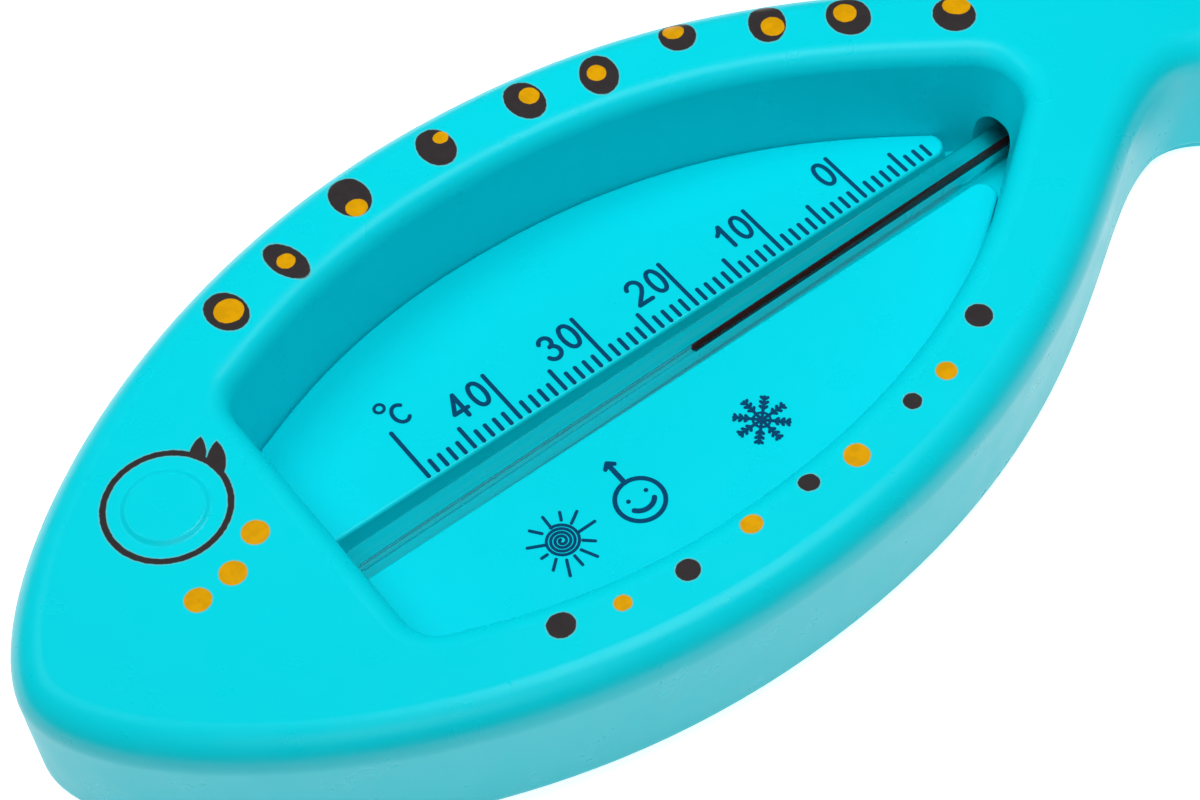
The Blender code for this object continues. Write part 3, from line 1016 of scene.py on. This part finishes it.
def moulded_plastic(name):
    """Plain turquoise plastic; returns the finish, its place and its colour."""
    finish = Finish(bpy.data.materials.new(name))
    place = finish.place()
    drift = finish.noise(place, 22, 2)
    colour = finish.mix(drift, (0.0, 0.695, 0.805, 1), (0.0, 0.730, 0.845, 1))
    skin = finish.noise(place, 4, 3)
    grain = finish.noise(place, 0.35, 2)
    finish.feed(finish.shader.inputs["Roughness"], skin.fade(0.3, 0.7, 0.27, 0.35))
    finish.bump(skin * 0.6 + grain * 0.4, 0.000002)
    return finish, place, colour


plain, _, plain_colour = moulded_plastic("turquoise_plastic_plain")
plain.feed(plain.shader.inputs["Base Color"], plain_colour)
cover.data.materials.clear()
cover.data.materials.append(plain.block)
print(plain.block.name, "has", len(plain.tree.nodes), "nodes")

# %% Turquoise plastic with the printed pattern
printed, place, colour = moulded_plastic("turquoise_plastic_printed")
flat_node = printed.node("ShaderNodeVectorMath", {"operation": "MULTIPLY"}, {0: place, 1: (1, 1, 0)})
flat = Signal(printed, flat_node.outputs[0])
waver = (printed.noise(place, 0.5, 3) - 0.5) * 0.16
dark = nearest([from_oval(printed, flat, oval) for oval in dark_ovals])
eye_away = from_oval(printed, flat, (-53.93, 8.53, 5.63, 5.63, 0))
eye_ring = eye_away.math("ABSOLUTE") - 0.29
outside_ring = eye_away * -1
lash_forms = [from_lash(printed, flat, lash).math("MAXIMUM", outside_ring) for lash in lashes]
dark = nearest([dark, eye_ring] + lash_forms) + waver
yellow = nearest([from_oval(printed, flat, dot) for dot in yellow_dots]) + waver
any_ink = dark.math("MINIMUM", yellow)
blot = printed.noise(place, 1.2, 3)
black = printed.mix(blot, (0.030, 0.026, 0.028, 1), (0.046, 0.039, 0.041, 1))
amber = printed.mix(blot.fade(0.35, 0.65), (0.68, 0.335, 0.001, 1), (0.79, 0.385, 0.001, 1))
colour = printed.mix(any_ink.fade(0.04, 0.16, 0.6, 0.0), colour, (0.16, 0.46, 0.46, 1))
colour = printed.mix(dark.fade(-0.04, 0.04, 1.0, 0.0), colour, black)
colour = printed.mix(yellow.fade(-0.04, 0.04, 1.0, 0.0), colour, amber)
printed.feed(printed.shader.inputs["Base Color"], colour)
shell.data.materials.clear()
shell.data.materials.append(printed.block)
print(printed.block.name, "has", len(printed.tree.nodes), "nodes")

# %% [markdown]
# Ink on the scale faces is navy, slightly uneven and matt. The liquid is a red dye that
# looks nearly black in the narrow bore. The glass is clear, but handled glass carries a
# thin film, so its roughness is not quite zero everywhere. In Cycles a shadow ray treats
# glass as solid, so a tinted transparent shader stands in for it there, and most of the
# light reaches the groove below.

# %% Ink, liquid and glass
navy = Finish(bpy.data.materials.new("navy_ink"))
navy_place = navy.place()
navy_spots = navy.noise(navy_place, 0.3, 2)
navy_colour = navy.mix(navy_spots, (0.001, 0.045, 0.125, 1), (0.003, 0.075, 0.175, 1))
navy.feed(navy.shader.inputs["Base Color"], navy_colour)
navy.feed(navy.shader.inputs["Roughness"], navy_spots.fade(0.3, 0.7, 0.4, 0.55))
navy.bump(navy_spots, 0.00001)
for piece in (scale_marks, scale_numerals, sun, face_sign, flake):
    piece.data.materials.clear()
    piece.data.materials.append(navy.block)

dye = Finish(bpy.data.materials.new("dark_red_liquid_look"))
dye_place = dye.place()
streak = dye.noise(dye_place, 1.5, 2)
dye_colour = dye.mix(streak, (0.012, 0.001, 0.001, 1), (0.045, 0.003, 0.003, 1))
dye.feed(dye.shader.inputs["Base Color"], dye_colour)
dye.feed(dye.shader.inputs["Roughness"], streak.fade(0.3, 0.7, 0.1, 0.2))
dye.bump(streak, 0.00001)
liquid.data.materials.clear()
liquid.data.materials.append(dye.block)

clear = Finish(bpy.data.materials.new("clear_glass_look"))
clear_place = clear.place()
film = clear.noise(clear_place, 3, 3)
clear_colour = clear.mix(film, (0.93, 0.985, 0.985, 1), (0.98, 1.0, 1.0, 1))
clear.feed(clear.shader.inputs["Base Color"], clear_colour)
clear.feed(clear.shader.inputs["Roughness"], film.fade(0.5, 0.8, 0.0, 0.05))
clear.shader.inputs["IOR"].default_value = 1.5
clear.shader.inputs["Transmission Weight"].default_value = 1.0
clear.bump(film, 0.00001)
see_through = clear.node("ShaderNodeBsdfTransparent", None, {"Color": (0.74, 0.81, 0.81, 1)})
choice = clear.node("ShaderNodeMixShader", None, {0: clear.rays("Shadow")})
clear.tree.links.new(clear.shader.outputs[0], choice.inputs[1])
clear.tree.links.new(see_through.outputs[0], choice.inputs[2])
clear.tree.links.new(choice.outputs[0], clear.tree.nodes["Material Output"].inputs["Surface"])
glass.data.materials.clear()
glass.data.materials.append(clear.block)
print("inks, liquid and glass are ready")

# %% [markdown]
# The table and the light: a pale floor that keeps the object's shadow, a dim sky, and three
# soft lamps. One hangs above the scale. One stands behind the head's side, so the far wall
# throws a soft shade onto the scale. A weak one beside the camera lights the walls that face
# it. None shows in reflections, which keeps the turquoise deep. The table glows a little,
# as a lit white sheet does, and lights the sides from below; the camera sees it pure white.
# It lies a twentieth of a millimetre lower than the object, so the two never coincide.

# %% Floor
deselect()
bpy.ops.mesh.primitive_plane_add(size=4, location=(0, 0, -0.00005))
floor = bpy.context.object
floor.name = "floor"
paper = Finish(bpy.data.materials.new("white_table"))
paper.shader.inputs["Base Color"].default_value = (0.86, 0.86, 0.86, 1)
paper.shader.inputs["Roughness"].default_value = 0.9
paper.shader.inputs["Specular IOR Level"].default_value = 0.0
glow_strength = paper.rays("Camera") * 0.35 + 0.45
glow = paper.node("ShaderNodeEmission", None, {"Color": (1, 1, 1, 1), "Strength": glow_strength})
both = paper.node("ShaderNodeAddShader")
paper.tree.links.new(paper.shader.outputs[0], both.inputs[0])
paper.tree.links.new(glow.outputs[0], both.inputs[1])
paper.tree.links.new(both.outputs[0], paper.tree.nodes["Material Output"].inputs["Surface"])
floor.data.materials.append(paper.block)
print("floor is", floor.dimensions.x, "m wide")

# %% Sky and lamps
scene.world = bpy.data.worlds.new("sky")
sky = Finish(scene.world)
strength = sky.rays("Camera") * 0.9 + sky.rays("Transmission") * 0.15 - sky.rays("Glossy") * 0.1 + 0.1
background = sky.tree.nodes["Background"]
background.inputs["Color"].default_value = (1, 1, 1, 1)
sky.feed(background.inputs["Strength"], strength)


def lamp(name, place, lean, size, power):
    """A square soft lamp, leaning by two angles in degrees, that no reflection shows."""
    turns = [math.radians(turn) for turn in lean]
    bpy.ops.object.light_add(type="AREA", location=place, rotation=turns)
    made = bpy.context.object
    made.name = name
    made.data.size = size
    made.data.energy = power
    made.visible_glossy = False
    made.visible_transmission = False
    return made


lamp("lamp_above", (0.035, -0.014, 0.24), (3, 0, 0), 0.12, 0.345)
lamp("lamp_before", (-0.10, -0.12, 0.20), (32, 0, -40), 0.10, 0.055)
lamp("lamp_behind", (-0.10, 0.14, 0.25), (-34.5, 0, 35.5), 0.13, 0.335)

# %% [markdown]
# The photograph's camera was found from the evenly spaced marks of the scale: a short
# telephoto view from the head's end and the near side, looking down by 55 degrees.

# %% Camera
bpy.ops.object.camera_add(
    location=(-0.09618, -0.12355, 0.21793),
    rotation=[math.radians(turn) for turn in (34.839, 2.353, -37.185)],
)
camera = bpy.context.object
camera.data.lens = 83.25
camera.data.sensor_width = 36
camera.data.clip_start = 0.01
scene.camera = camera
scene.view_settings.view_transform = "Standard"
print("camera at", [round(c, 3) for c in camera.location])

# %% Attach the pieces to the root and hide the CAD parts they replace
pieces = {
    shell: ("front_shell", "turquoise_plastic"),
    cover: ("back_cover", "turquoise_plastic"),
    glass: ("glass_tube", "clear_glass"),
    liquid: ("thermometer_liquid", "dark_red_liquid"),
}
for piece, (node, slot) in pieces.items():
    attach(piece, "root")
    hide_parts(node)
for piece in (scale_marks, scale_numerals, sun, face_sign, flake):
    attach(piece, "root")
